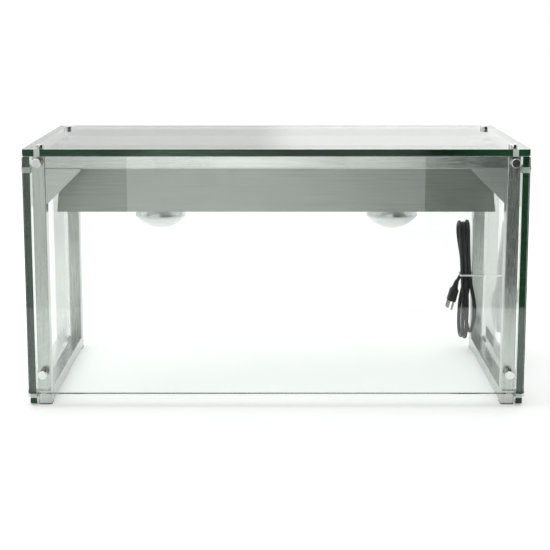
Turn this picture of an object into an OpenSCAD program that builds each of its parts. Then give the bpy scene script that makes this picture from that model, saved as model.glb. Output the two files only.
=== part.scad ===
// Heated countertop display case. Thick glass panes are bolted to a square tube frame with
// standoff caps, and a sheet metal lamp housing hangs under the top. The rear is open to serve
// from. X runs across the case, Y from front to rear, Z up from the counter.

/* [Case] */
// Width over the side panes
case_w = 965; // [800:5:1200]
// Height from the counter to the upper face of the top pane
case_h = 508; // [470:2:620]
// Depth of the top pane, from front to rear
case_d = 419; // [400:1:500]

/* [Glass] */
// Thickness of every pane
glass_t = 12.7; // [8:0.1:14]
// Height of the front pane's lower edge above the counter
front_gap = 27; // [15:1:50]
// Corner radius of every pane
pane_r = 4; // [2:0.5:8]
// Gap between one pane and the next
pane_gap = 1; // [0.5:0.5:2]

/* [Frame] */
// Outer width of the square tube
tube = 25.4; // [22:0.2:30]
// Wall of the square tube
tube_wall = 1.5; // [1.2:0.1:2]
// Outer corner radius of the square tube
tube_r = 2; // [1.6:0.1:2.5]
// Leg of each triangular corner plate
gusset_leg = 68; // [40:1:90]
// Thickness of each corner plate
gusset_t = 3; // [2:0.5:5]
// Thickness of the pad under each post
foot_t = 2; // [1:0.5:4]

/* [Glass fasteners] */
// Diameter of each polished cap
cap_d = 17.5; // [15:0.5:20]
// Height that each cap stands off the glass
cap_h = 6.5; // [5.5:0.5:8]
// Length of the spacers behind the front pane
front_spacer = 5.3; // [3:0.1:8]
// Length of the spacers behind each side pane
side_spacer = 3; // [2:0.1:5]
// Thickness of the washers under the top pane
top_washer = 1; // [0.5:0.1:2]
// Diameter of the threaded stud in each cap
stud_d = 8; // [6:0.5:8]
// Diameter of the hole in the glass, which a nylon sleeve lines
glass_hole_d = 11; // [10:0.5:12]
// Distance of the rear top bolts from the rear edge of the top pane
top_bolt_rear = 67; // [50:1:100]

/* [Lamp housing] */
// Length of the housing at its lower edge
housing_l = 880.8; // [700:0.2:880.8]
// Depth of the housing at its lower edge
housing_d = 186; // [150:1:220]
// Height of the housing's lower edge above the counter
housing_z = 366; // [340:1:380]
// Height of the housing
housing_h = 122; // [116:1:122]
// Lean of the housing's four sides, in degrees
housing_lean = 5; // [0:0.5:8]
// Thickness of the housing's sheet metal
sheet = 1.2; // [0.8:0.1:2]

/* [Lamps] */
// Distance of each lamp from the middle of the case
lamp_x = 241; // [180:1:280]
// Largest diameter of each lamp
lamp_d = 106; // [90:1:108]
// Height of the lamp's lowest point above the counter
lamp_z = 316; // [310:1:330]
// Radius of the lamp's domed face
dome_r = 65.5; // [60:0.5:90]

/* [Switch] */
// Distance of the switch from the middle of the case
switch_x = 340; // [300:1:360]
// Tilt of the rocker to each side of its middle, in degrees
rocker_tilt = 12; // [8:1:14]

/* [Mains cord] */
// Diameter of the cord
cord_d = 8; // [6:0.5:9]

/* [Hidden] */
$fn = 48;
// Overlap where two parts of one solid join.
eps = 0.01;

// Y of the front pane's front face: the case is centred in Y with its front caps counted.
y_front = cap_h / 2 - case_d / 2;
frame_y0 = y_front + glass_t + front_spacer;
frame_y1 = y_front + case_d - 1;
frame_top = case_h - glass_t - top_washer;
frame_x = case_w / 2 - glass_t - side_spacer;
post_x = frame_x - tube / 2;
inner_x = frame_x - tube;
front_post_y = frame_y0 + tube / 2;
rear_post_y = frame_y1 - tube / 2;
top_rail_z = frame_top - tube;
// The posts are closed at the top by a welded plate of this thickness.
post_lid = 3;

// Heights of the bolts, and the depth of the rear bolts in the top pane.
front_bolt_z = [66, frame_top - 12.3];
side_bolt_z = [20, frame_top - 27.3];
top_bolt_y = y_front + case_d - top_bolt_rear;
nut_l = 7;
spacer_d = 15;
bore_play = 0.2;
cap_chamfer = 0.8;
cap_thread = 5;
label_t = 0.2;

// Lamp housing: the middle of its depth, and its slope as a run per unit of height.
mid_y = y_front + case_d / 2 + 9.5;
lean = tan(housing_lean);
flange_w = 13;
housing_top = housing_z + housing_h;
ceiling_z = housing_top - sheet;
plate_z = housing_z + sheet;
lamp_hole_d = lamp_d + 6;
bracket_t = 2;
bracket_w = 40;
bracket_y = 50;
bracket_reach = 36;
small_screw_d = 4;
small_head_d = 8;

// Lamp: a screw base lamp with a domed face and a parabolic reflector.
lamp_glass = 1;
rim_z = lamp_z + 29;
neck_z = lamp_z + 112;
neck_r = 15;
collar_r = 12.4;
base_z0 = lamp_z + 120;
base_l = 25;
base_r = 12.9;
thread_h = 0.25;
thread_pitch = 3.6;
socket_z0 = base_z0 - 4;
socket_z1 = ceiling_z - 12.8;
socket_r = 22;
socket_bore_r = 14.6;
contact_gap = 0.5;

// Switch and cord grip sit on the housing's rear face, square to its slope.
switch_z = 430;
switch_cut = [13, 19.2];
bezel = [15, 21, 2];
rocker_w = 11;
rocker_r = 8.6;
pivot_r = 1.5;
pivot_n = -1.5;
grip_x = 400;
grip_z = 400;
grip_l = 30;

// Cord: the free lead's own points as [x, depth behind the front glass face, z].
lead_points = [[400, 334, 402], [400, 350, 403.5], [402, 366, 404], [407, 382, 402.5],
    [415, 397, 398], [425, 410, 390], [435.5, 420.5, 379], [445, 427.5, 365.5],
    [452, 431.5, 349.5], [456.5, 433.3, 332], [458.5, 434, 313], [459, 434, 293],
    [459, 434, 273], [459, 434, 253], [459, 433.8, 233], [458.4, 433.2, 213],
    [456.4, 432, 195], [452.6, 430, 178], [447.6, 427.2, 163], [442.4, 424, 149],
    [437.6, 420, 135], [434.6, 415.6, 121], [433.5, 411, 107]];
// The hank of folded cord, hung beside the right rear post by its tie.
hank_y = [y_front + 360, y_front + 416];
hank_z = [26, 302];
tie_z = 172;
tie_h = 4;
tie_t = 1.2;
// The plug hangs aslant beside the hank: the upper end of its relief, and its slant in degrees.
plug_top = [409, y_front + 402, 158];
plug_slant = 15;
plug_body_l = 30;
plug_relief_l = 18;

// ---- Shapes that repeat ----

// A rectangle with round corners, centred.
module rounded_rect(w, h, r) {
    square([w - 2 * r, h], center = true);
    square([w, h - 2 * r], center = true);
    for (sx = [-1, 1], sy = [-1, 1])
        translate([sx * (w / 2 - r), sy * (h / 2 - r)]) circle(r);
}

// A square tube standing on Z = 0.
module square_tube(l) {
    linear_extrude(l) difference() {
        rounded_rect(tube, tube, tube_r);
        rounded_rect(tube - 2 * tube_wall, tube - 2 * tube_wall, 0.8);
    }
}

// A ring standing on Z = 0.
module ring(d_out, d_in, h) {
    difference() {
        cylinder(d = d_out, h = h);
        translate([0, 0, -1]) cylinder(d = d_in, h = h + 2);
    }
}

// A round tube swept along a list of points. The frame of each ring is turned as little as
// possible from the one before it.
function unit(v) = v / norm(v);
function tangent(p, i) = unit(p[min(i + 1, len(p) - 1)] - p[max(i - 1, 0)]);
function square_to(v, t) = unit(v - (v * t) * t);
function start_side(p) = abs(tangent(p, 0).x) < 0.9 ? [1, 0, 0] : [0, 0, 1];
function ring_normals(p, i = 0, n = undef) = i == len(p) ? [] :
    let (m = square_to(i == 0 ? start_side(p) : n, tangent(p, i)))
        concat([m], ring_normals(p, i + 1, m));

module swept_tube(p, d, sides) {
    normals = ring_normals(p);
    points = [for (i = [0 : len(p) - 1]) let (t = tangent(p, i), u = normals[i], v = cross(t, u))
        for (k = [0 : sides - 1]) let (a = 360 * k / sides)
            p[i] + d / 2 * (cos(a) * u + sin(a) * v)];
    last = (len(p) - 1) * sides;
    polyhedron(points, concat(
        [[for (k = [0 : sides - 1]) k]],
        [for (i = [0 : len(p) - 2], k = [0 : sides - 1]) let (m = (k + 1) % sides)
            [i * sides + k, (i + 1) * sides + k, (i + 1) * sides + m, i * sides + m]],
        [[for (k = [sides - 1 : -1 : 0]) last + k]]));
}

// The points of a path with each corner cut to a short curve of reach r.
function curve_at(a, b, c, r) = let (p = b + r * unit(a - b), q = b + r * unit(c - b))
    [for (t = [0, 0.5, 1]) (1 - t) * (1 - t) * p + 2 * t * (1 - t) * b + t * t * q];
function rounded_path(p, r) = concat([p[0]],
    [for (i = [1 : len(p) - 2]) each curve_at(p[i - 1], p[i], p[i + 1], r)],
    [p[len(p) - 1]]);

module wire(points, d) {
    swept_tube(rounded_path(points, 5), d, 8);
}

// A pan head screw: head on Z >= 0, shank down to Z = -l.
module screw(l, head_h = 2) {
    cylinder(d = small_head_d, h = head_h);
    translate([0, 0, -l]) cylinder(d = small_screw_d, h = l + eps);
}

// The bolt positions of each pane. Z of the child points out through the glass from the frame.
module at_front() {
    for (sx = [-1, 1], z = front_bolt_z)
        translate([sx * post_x, frame_y0, z]) rotate([90, 0, 0]) children();
}

module at_top() {
    for (sx = [-1, 1], y = [front_post_y, top_bolt_y])
        translate([sx * post_x, y, frame_top]) children();
}

module at_side(s) {
    for (y = [front_post_y, rear_post_y], z = side_bolt_z)
        translate([s * frame_x, y, z]) rotate([0, s * 90, 0]) children();
}

// The clearance for a rivet nut's body in a tube wall.
module nut_cut() {
    translate([0, 0, -nut_l]) cylinder(d = glass_hole_d, h = nut_l + 1);
}

// ---- Frame ----

module post(s, y, front) {
    difference() {
        translate([s * post_x, y, foot_t]) {
            square_tube(frame_top - foot_t);
            translate([0, 0, frame_top - foot_t - post_lid])
                linear_extrude(post_lid) rounded_rect(tube - 2, tube - 2, 0.8);
        }
        at_side(s) nut_cut();
        if (front) {
            at_front() nut_cut();
            at_top() nut_cut();
        }
    }
}

// A rail from the front post to the rear post, with its lower face at z.
module side_rail(s, z) {
    translate([s * post_x, frame_y0 + tube, z + tube / 2]) rotate([-90, 0, 0])
        square_tube(frame_y1 - frame_y0 - 2 * tube);
}

// A rail across the case, centred on y.
module cross_rail(y) {
    translate([-inner_x, y, top_rail_z + tube / 2]) rotate([0, 90, 0])
        square_tube(2 * inner_x);
}

// A pair of triangular corner plates with their front face at y.
module gussets(y) {
    tip = 3;
    for (s = [-1, 1])
        translate([s * inner_x, y + gusset_t, top_rail_z]) rotate([90, 0, 0])
            linear_extrude(gusset_t)
                polygon([[0, 0], [-s * gusset_leg, 0], [-s * gusset_leg, -tip],
                    [-s * tip, -gusset_leg], [0, -gusset_leg]]);
}

module left_front_post() { color("#aab0ac") post(-1, front_post_y, true); }
module left_rear_post() { color("#aab0ac") post(-1, rear_post_y, false); }
module right_front_post() { color("#aab0ac") post(1, front_post_y, true); }
module right_rear_post() { color("#aab0ac") post(1, rear_post_y, false); }
module left_bottom_rail() { color("#a0a7a2") side_rail(-1, foot_t); }
module right_bottom_rail() { color("#a0a7a2") side_rail(1, foot_t); }

module left_top_rail() {
    color("#a0a7a2") difference() {
        side_rail(-1, top_rail_z);
        at_top() nut_cut();
    }
}

module right_top_rail() {
    color("#a0a7a2") difference() {
        side_rail(1, top_rail_z);
        at_top() nut_cut();
    }
}

module front_top_rail() { color("#b4bab6") cross_rail(front_post_y); }
module rear_top_rail() { color("#b4bab6") cross_rail(rear_post_y); }
module front_gussets() { color("#a5aba7") gussets(frame_y0); }
module rear_gussets() { color("#a5aba7") gussets(frame_y1 - gusset_t); }

// Each post stands on a plug with a block that fits in the tube and a pad under it.
module foot_plugs() {
    block = tube - 2 * tube_wall - 0.6;
    color("#2b2d2e") for (sx = [-1, 1], y = [front_post_y, rear_post_y])
        translate([sx * post_x, y, 0]) {
            linear_extrude(foot_t) rounded_rect(tube, tube, tube_r);
            linear_extrude(foot_t + 8) rounded_rect(block, block, 1);
        }
}

module rivet_nuts() {
    color("#8d9090") {
        at_front() translate([0, 0, -nut_l]) ring(glass_hole_d, stud_d, nut_l);
        at_top() translate([0, 0, -nut_l]) ring(glass_hole_d, stud_d, nut_l);
        for (s = [-1, 1]) at_side(s) translate([0, 0, -nut_l]) ring(glass_hole_d, stud_d, nut_l);
    }
}

// ---- Glass ----

module glass_hole() {
    translate([0, 0, -1]) cylinder(d = glass_hole_d, h = 40);
}

module top_glass() {
    color("#8fb3a0", 0.45) difference() {
        translate([0, y_front + case_d / 2, case_h - glass_t])
            linear_extrude(glass_t) rounded_rect(case_w, case_d, pane_r);
        at_top() glass_hole();
    }
}

module front_glass() {
    h = case_h - glass_t - pane_gap - front_gap;
    color("#9fc4b2", 0.4) difference() {
        translate([0, y_front + glass_t, front_gap + h / 2]) rotate([90, 0, 0])
            linear_extrude(glass_t) rounded_rect(case_w, h, pane_r);
        at_front() glass_hole();
    }
}

module side_glass(s) {
    d = case_d - glass_t - pane_gap - 1;
    h = case_h - glass_t - pane_gap - foot_t;
    color("#9fc4b2", 0.4) difference() {
        translate([s * (case_w / 2 - glass_t / 2), y_front + case_d - 1 - d / 2, foot_t + h / 2])
            rotate([0, 90, 0]) translate([0, 0, -glass_t / 2])
                linear_extrude(glass_t) rounded_rect(h, d, pane_r);
        at_side(s) glass_hole();
    }
}

module left_glass() { side_glass(-1); }
module right_glass() { side_glass(1); }

// ---- Glass fasteners, each drawn outwards from the frame ----

module sleeve(gap) {
    translate([0, 0, gap]) ring(glass_hole_d, stud_d + bore_play, glass_t);
}

module cap(gap) {
    translate([0, 0, gap + glass_t]) difference() {
        union() {
            cylinder(d = cap_d, h = cap_h - cap_chamfer);
            translate([0, 0, cap_h - cap_chamfer])
                cylinder(d1 = cap_d, d2 = cap_d - 2 * cap_chamfer, h = cap_chamfer, $fn = 64);
        }
        translate([0, 0, -1]) cylinder(d = stud_d, h = cap_thread + 1);
    }
}

module stud(gap) {
    translate([0, 0, -nut_l]) cylinder(d = stud_d, h = nut_l + gap + glass_t + cap_thread);
}

module glass_sleeves() {
    color("#e8ece9") {
        at_top() sleeve(top_washer);
        at_front() sleeve(front_spacer);
        for (s = [-1, 1]) at_side(s) sleeve(side_spacer);
    }
}

module top_caps() { color("#d8dada") at_top() cap(top_washer); }
module front_caps() { color("#d8dada") at_front() cap(front_spacer); }
module left_caps() { color("#d8dada") at_side(-1) cap(side_spacer); }
module right_caps() { color("#d8dada") at_side(1) cap(side_spacer); }
module top_washers() { color("#d5dad8") at_top() ring(spacer_d, stud_d + bore_play, top_washer); }

module front_spacers() {
    color("#c9cccb") at_front() ring(spacer_d, stud_d + bore_play, front_spacer);
}

module left_spacers() {
    color("#c9cccb") at_side(-1) ring(spacer_d, stud_d + bore_play, side_spacer);
}

module right_spacers() {
    color("#c9cccb") at_side(1) ring(spacer_d, stud_d + bore_play, side_spacer);
}

module top_studs() { color("#9c9fa0") at_top() stud(top_washer); }
module front_studs() { color("#9c9fa0") at_front() stud(front_spacer); }
module left_studs() { color("#9c9fa0") at_side(-1) stud(side_spacer); }
module right_studs() { color("#9c9fa0") at_side(1) stud(side_spacer); }

// ---- Lamp housing ----

// The housing's leaning outer form between two heights, with its ends moved in by in_x and its
// front and rear by in_y.
module hood(in_x, in_y, z0, z1) {
    hx = [for (z = [z0, z1]) housing_l / 2 - in_x - (z - housing_z) * lean];
    hy = [for (z = [z0, z1]) housing_d / 2 - in_y - (z - housing_z) * lean];
    translate([0, mid_y, 0]) intersection() {
        rotate([90, 0, 0]) linear_extrude(2 * housing_d, center = true)
            polygon([[-hx[0], z0], [hx[0], z0], [hx[1], z1], [-hx[1], z1]]);
        rotate([90, 0, 90]) linear_extrude(2 * housing_l, center = true)
            polygon([[-hy[0], z0], [hy[0], z0], [hy[1], z1], [-hy[1], z1]]);
    }
}

// Places a child on the housing's rear face with Z out of the face and Y down the slope.
module on_rear_face(x, z) {
    y = mid_y + housing_d / 2 - (z - housing_z) * lean;
    translate([x, y, z]) rotate([housing_lean - 90, 0, 0]) children();
}

// The screws through the hanger brackets: two into the housing's top, two into the rail.
module at_bracket(s) {
    for (dy = [-bracket_y, bracket_y]) translate([s * inner_x, mid_y + dy, 0]) children();
}

// The screws that hold the reflector plate to the housing's flanges.
module at_plate_screws() {
    for (x = [-400, -130, 130, 400], s = [-1, 1])
        translate([x, mid_y + s * (housing_d / 2 - flange_w / 2), 0]) children();
}

// One folded sheet: the top, front and rear, and an inward flange along both lower edges.
module housing_shell() {
    color("#9ba19b") difference() {
        hood(sheet, 0, housing_z, housing_top);
        hood(-1, sheet, plate_z, ceiling_z);
        translate([-housing_l, mid_y - housing_d / 2 + flange_w, housing_z - 1])
            cube([2 * housing_l, housing_d - 2 * flange_w, 5]);
        on_rear_face(switch_x, switch_z) cube([switch_cut.x, switch_cut.y, 8], center = true);
        on_rear_face(grip_x, grip_z) cylinder(d = 16, h = 8, center = true);
        for (s = [-1, 1]) at_bracket(s) for (dy = [-12, 12])
            translate([-s * 24, dy, ceiling_z - 1]) cylinder(d = small_screw_d, h = 4);
        at_plate_screws() translate([0, 0, housing_z - 1]) cylinder(d = small_screw_d, h = 4);
    }
}

module housing_end(s) {
    color("#8f968f") difference() {
        hood(0, 0, housing_z, housing_top);
        hood(sheet, -5, housing_z - 1, housing_top + 1);
        translate([-s * housing_l, mid_y, 0]) cube([2 * housing_l, 2 * housing_l, 2000], center = true);
    }
}

module housing_left_end() { housing_end(-1); }
module housing_right_end() { housing_end(1); }

module reflector_plate() {
    color("#d9dcda") difference() {
        hood(sheet, sheet, plate_z, plate_z + sheet);
        for (s = [-1, 1]) translate([s * lamp_x, mid_y, plate_z - 1])
            cylinder(d = lamp_hole_d, h = 4, $fn = 96);
        at_plate_screws() translate([0, 0, housing_z - 1]) cylinder(d = small_screw_d, h = 6);
    }
}

module plate_screws() {
    color("#b9bcbb") at_plate_screws() translate([0, 0, housing_z]) mirror([0, 0, 1])
        screw(6, 1);
}

// An angle between the side rail's inner face and the housing's top.
module hanger_brackets() {
    color("#a9afab") for (s = [-1, 1]) difference() {
        at_bracket(s) {
            translate([s > 0 ? -bracket_t : 0, -bracket_w / 2, housing_top - 17])
                cube([bracket_t, bracket_w, 17 + bracket_t]);
            translate([s > 0 ? -bracket_reach : 0, -bracket_w / 2, housing_top])
                cube([bracket_reach, bracket_w, bracket_t]);
        }
        at_bracket(s) for (dy = [-12, 12]) {
            translate([-s * 24, dy, housing_top - 1]) cylinder(d = small_screw_d, h = 6);
            translate([0, dy, housing_top - 9]) rotate([0, 90, 0])
                cylinder(d = small_screw_d, h = 9, center = true);
        }
    }
}

module bracket_screws() {
    color("#b9bcbb") for (s = [-1, 1]) at_bracket(s) for (dy = [-12, 12]) {
        translate([-s * 24, dy, housing_top + bracket_t]) screw(5);
        translate([-s * bracket_t, dy, housing_top - 9]) rotate([0, -s * 90, 0]) screw(bracket_t);
    }
}

// A hat section under the housing's top, which a socket hangs from.
module socket_brackets() {
    w = 58;
    t = 1.5;
    foot = 12;
    h = ceiling_z - socket_z1;
    color("#a9afab") for (s = [-1, 1]) difference() {
        translate([s * lamp_x, mid_y, socket_z1]) rotate([90, 0, 0])
            linear_extrude(44, center = true) polygon([[-w / 2, 0], [w / 2, 0], [w / 2, h - t],
                [w / 2 + foot, h - t], [w / 2 + foot, h], [w / 2 - t, h], [w / 2 - t, t],
                [t - w / 2, t], [t - w / 2, h], [-w / 2 - foot, h], [-w / 2 - foot, h - t],
                [-w / 2, h - t]]);
        for (dx = [-18, 18]) translate([s * lamp_x + dx, mid_y, socket_z1 - 1])
            cylinder(d = small_screw_d, h = 4);
    }
}

module socket_screws() {
    color("#b9bcbb") for (s = [-1, 1], dx = [-18, 18])
        translate([s * lamp_x + dx, mid_y, socket_z1 + 1.5]) screw(9.5);
}

// ---- Lamps and sockets ----

module socket(s) {
    color("#ece9e1") translate([s * lamp_x, mid_y, 0]) difference() {
        union() {
            translate([0, 0, socket_z0]) cylinder(r = socket_r, h = socket_z1 - socket_z0);
            translate([0, 0, socket_z1 - 5]) cylinder(r = 26, h = 5);
        }
        translate([0, 0, socket_z0 - 1]) cylinder(r = socket_bore_r, h = base_l + 8);
        for (dx = [-18, 18]) translate([dx, 0, socket_z1 - 8]) cylinder(d = small_screw_d, h = 9);
    }
}

module left_socket() { socket(-1); }
module right_socket() { socket(1); }

// The threaded metal shell and the sprung centre contact inside each socket.
module socket_contacts() {
    top = socket_z0 + base_l + 7;
    color("#c2a35c") for (s = [-1, 1]) translate([s * lamp_x, mid_y, 0]) {
        translate([0, 0, socket_z0 + 2]) ring(2 * socket_bore_r, 2 * socket_bore_r - 1.6, base_l);
        translate([0, 0, base_z0 + base_l + 2 + contact_gap])
            cylinder(r = 4, h = top - base_z0 - base_l - 2 - contact_gap);
    }
}

// Half profile of the lamp's glass: the dome, the round rim, the parabola and the neck.
function lamp_profile(t) = let (
    r = lamp_d / 2,
    rim_r = 6,
    dome_end = asin((r - rim_r + 2.5) / dome_r),
    zc = lamp_z + dome_r
) concat(
    [for (i = [0 : 10]) let (a = dome_end * i / 10)
        [(dome_r - t) * sin(a), zc - (dome_r - t) * cos(a)]],
    [for (i = [0 : 4]) let (a = -40 + 45 * i / 4)
        [r - rim_r + (rim_r - t) * cos(a), rim_z + (rim_r - t) * sin(a)]],
    [for (i = [1 : 10]) let (u = 1 - i / 10)
        [neck_r - t + (r - neck_r) * sqrt(u), neck_z - (neck_z - rim_z) * u]],
    [[collar_r - t, neck_z + 5], [collar_r - t, base_z0 + 12]]
);

function reversed(list) = [for (i = [len(list) - 1 : -1 : 0]) list[i]];

module lamp_envelope(s) {
    color("#dfe3e2") translate([s * lamp_x, mid_y, 0]) rotate_extrude($fn = 72)
        polygon(concat(lamp_profile(0), reversed(lamp_profile(lamp_glass))));
}

// The screw base: a rolled thread on a thin cup, a glass insulator and the centre contact.
module lamp_base(s) {
    steps = 42;
    thread = [for (i = [0 : steps]) let (z = base_l * i / steps)
        [base_r + thread_h * cos(360 * z / thread_pitch), base_z0 + z * 0.84]];
    cup_top = base_z0 + base_l * 0.84;
    color("#c4a663") translate([s * lamp_x, mid_y, 0]) rotate_extrude($fn = 48)
        polygon(concat([[collar_r, base_z0]], thread, [[base_r - 1.5, cup_top + 0.5],
            [5, cup_top + 3.2], [4.6, base_z0 + base_l + 1.6], [3.4, base_z0 + base_l + 2],
            [0, base_z0 + base_l + 2], [0, cup_top - 1], [collar_r, cup_top - 1]]));
}

// A glass stem, and a tungsten filament that curves between its two lead wires.
module lamp_filament(s) {
    ring_r = 11;
    fil_z = lamp_z + 62;
    stem_z = lamp_z + 94;
    color("#b9b9b4") translate([s * lamp_x, mid_y, 0]) {
        translate([0, 0, stem_z]) cylinder(d = 8, h = base_z0 + base_l * 0.84 - 1 - stem_z);
        swept_tube(concat([[-2.5, 0, stem_z]],
            [for (a = [-75 : 15 : 75]) [ring_r * sin(a), -ring_r * cos(a), fil_z]],
            [[2.5, 0, stem_z]]), 1.2, 8);
    }
}

module left_lamp_envelope() { lamp_envelope(-1); }
module left_lamp_base() { lamp_base(-1); }
module left_lamp_filament() { lamp_filament(-1); }
module right_lamp_envelope() { lamp_envelope(1); }
module right_lamp_base() { lamp_base(1); }
module right_lamp_filament() { lamp_filament(1); }

// ---- Electrical parts ----

block_size = [38, 22, 16];
block_pos = [330, mid_y + 30, ceiling_z - 16];
wire_z = ceiling_z - 8;
wire_d = 3;

module terminal_block() {
    color("#e6e2d3") translate(block_pos) difference() {
        translate([-block_size.x / 2, -block_size.y / 2, 0]) cube(block_size);
        for (dx = [-12, 0, 12], dy = [-5, 5])
            translate([dx, dy, -1]) cylinder(d = 4, h = 7);
    }
}

// Heat proof leads: a pair to each lamp socket, a pair to the switch and one from the grip.
module lamp_wiring() {
    entry_z = socket_z1 - 14;
    color("#b8472f") {
        for (s = [-1, 1], k = [0, 1]) {
            y = block_pos.y + 1 + 6.5 * k;
            x = s * lamp_x + 4 - 8 * k;
            z = wire_z + 3 - 5 * (s + 1) / 2;
            side_y = mid_y + sqrt(pow(socket_r, 2) - 16);
            wire([[block_pos.x - block_size.x / 2, y, z], [x, y, z], [x, y, entry_z],
                [x, side_y, entry_z]], wire_d);
        }
        for (dx = [-4, 4]) wire([[switch_x + dx, block_pos.y + block_size.y / 2, wire_z],
            [switch_x + dx, mid_y + 49, wire_z], [switch_x + dx, mid_y + 58, wire_z - 14],
            [switch_x + dx, mid_y + 62, switch_z + 3]], wire_d);
        wire([[block_pos.x + block_size.x / 2, block_pos.y, wire_z],
            [block_pos.x + block_size.x / 2 + 8, block_pos.y, wire_z],
            [380, mid_y + 40, wire_z - 20], [grip_x, mid_y + 60, grip_z]], wire_d);
    }
}

// The switch body, in the frame of the housing's rear face: a bezel on the sheet and a box
// behind it, with a pocket for the rocker and two bores for its pivots.
module switch_body() {
    pocket = [rocker_w + 0.6, 2 * rocker_r + 1];
    box = [switch_cut.x - 0.4, switch_cut.y - 0.4];
    color("#26282a") on_rear_face(switch_x, switch_z) difference() {
        union() {
            linear_extrude(bezel.z) rounded_rect(bezel.x, bezel.y, 1.5);
            translate([-box.x / 2, -box.y / 2, -16]) cube([box.x, box.y, 16 + eps]);
        }
        translate([-pocket.x / 2, -pocket.y / 2, -11]) cube([pocket.x, pocket.y, 20]);
        translate([0, 0, pivot_n]) rotate([0, 90, 0])
            cylinder(r = pivot_r + 0.05, h = rocker_w + 1.7, center = true);
    }
}

// The rocker at rest in its off position, on an axis along X.
module switch_rocker() {
    color("#1d1e20") on_rear_face(switch_x, switch_z) translate([0, 0, pivot_n])
        rotate([-rocker_tilt, 0, 0]) {
            intersection() {
                rotate([0, 90, 0]) cylinder(r = rocker_r, h = rocker_w, center = true);
                for (s = [-1, 1]) rotate([s * rocker_tilt, 0, 0])
                    translate([-rocker_w, s > 0 ? -2 * rocker_r : 0, -4])
                        cube([2 * rocker_w, 2 * rocker_r, 4 + 4.6]);
            }
            rotate([0, 90, 0]) cylinder(r = pivot_r, h = rocker_w + 1.4, center = true);
        }
}

// A moulded strain relief through the housing's rear face, bored for the cord.
module cord_grip() {
    color("#232425") on_rear_face(grip_x, grip_z) difference() {
        union() {
            translate([0, 0, -6]) cylinder(d = 16, h = 6 + eps);
            cylinder(d = 22, h = 3);
            translate([0, 0, 3]) cylinder(d1 = 16, d2 = cord_d + 2.4, h = grip_l - 3, $fn = 64);
        }
        translate([0, 0, -7]) cylinder(d = cord_d, h = grip_l + 8);
    }
}

// ---- Mains cord ----

module cord_lead() {
    path = [for (p = lead_points) [p.x, y_front + p.y, p.z]];
    // The tube is cut off flush with the rear face of the hank.
    color("#202122") difference() {
        swept_tube(path, cord_d, 10);
        translate([path[len(path) - 1].x, hank_y[1] - 2 * cord_d, path[len(path) - 1].z])
            cube([3, 4, 12] * cord_d, center = true);
    }
}

// The outer shape of the folded cord. Seen from the side it has round ends and is drawn in at
// the tie; seen from the front it hangs a little askew.
module cord_hank() {
    r = (hank_y[1] - hank_y[0]) / 2;
    pinch_r = 140;
    pinch = 32;
    // The plug's relief meets the hank on this slope.
    drop = 6 * tan(plug_slant);
    color("#202122") intersection() {
        rotate([90, 0, 90]) linear_extrude(600) difference() {
            union() {
                translate([hank_y[0], hank_z[0] + r]) square([2 * r, hank_z[1] - hank_z[0] - 2 * r]);
                for (z = [hank_z[0] + r, hank_z[1] - r]) translate([hank_y[0] + r, z]) circle(r);
            }
            translate([hank_y[0] + pinch - pinch_r, tie_z]) circle(pinch_r, $fn = 96);
        }
        rotate([90, 0, 0]) linear_extrude(1000, center = true) polygon([[409, 302], [430, 302],
            [433, 290], [441, 190], [441, 60], [436, 32], [430, 26], [416, 26], [411, 40],
            [411, 122], [415, 137], [plug_top.x + 6, plug_top.z - drop],
            [plug_top.x - 6, plug_top.z + drop], [405, 165], [416, 169.8], [416, 175],
            [412, 220], [406, 290]]);
    }
}

// Places a child at the plug's front face, with Z along the plug towards its cord.
module on_plug() {
    translate(plug_top) rotate([0, plug_slant, 0])
        translate([0, 0, -plug_relief_l - plug_body_l]) children();
}

module cord_plug() {
    color("#1f2021") on_plug() {
        linear_extrude(plug_body_l) rounded_rect(20, 25, 4);
        translate([0, 0, plug_body_l]) cylinder(d1 = 15, d2 = 10, h = plug_relief_l, $fn = 64);
    }
}

// Two flat blades and a round earth pin.
module plug_prongs() {
    color("#c8b98c") on_plug() {
        for (s = [-1, 1]) translate([-5 - 3.2, s * 6.35 - 0.75, -17]) cube([6.4, 1.5, 17]);
        translate([6.5, 0, -20]) cylinder(d = 4.8, h = 20);
        translate([6.5, 0, -20]) sphere(d = 4.8);
    }
}

// A cable tie round the hank and the post, with its locking head behind the post.
module cord_tie() {
    x0 = 414.4;
    x1 = frame_x + 0.3 + tie_t;
    y0 = y_front + 390.5;
    y1 = frame_y1 + 0.3 + tie_t;
    w = x1 - x0;
    d = y1 - y0;
    color("#f0f1ef") {
        translate([(x0 + x1) / 2, (y0 + y1) / 2, tie_z - tie_h / 2]) linear_extrude(tie_h)
            difference() {
                rounded_rect(w, d, 2);
                rounded_rect(w - 2 * tie_t, d - 2 * tie_t, 0.8);
            }
        translate([frame_x - 8.8, y1 - eps, tie_z - 3.5]) cube([6, 4.5, 7]);
    }
}

// A blank plate on the inner face of the right pane.
module rating_label() {
    x = case_w / 2 - glass_t - label_t;
    color("#8c9aa3") translate([x, y_front + 264, 41]) cube([label_t, 92, 25]);
}

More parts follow.
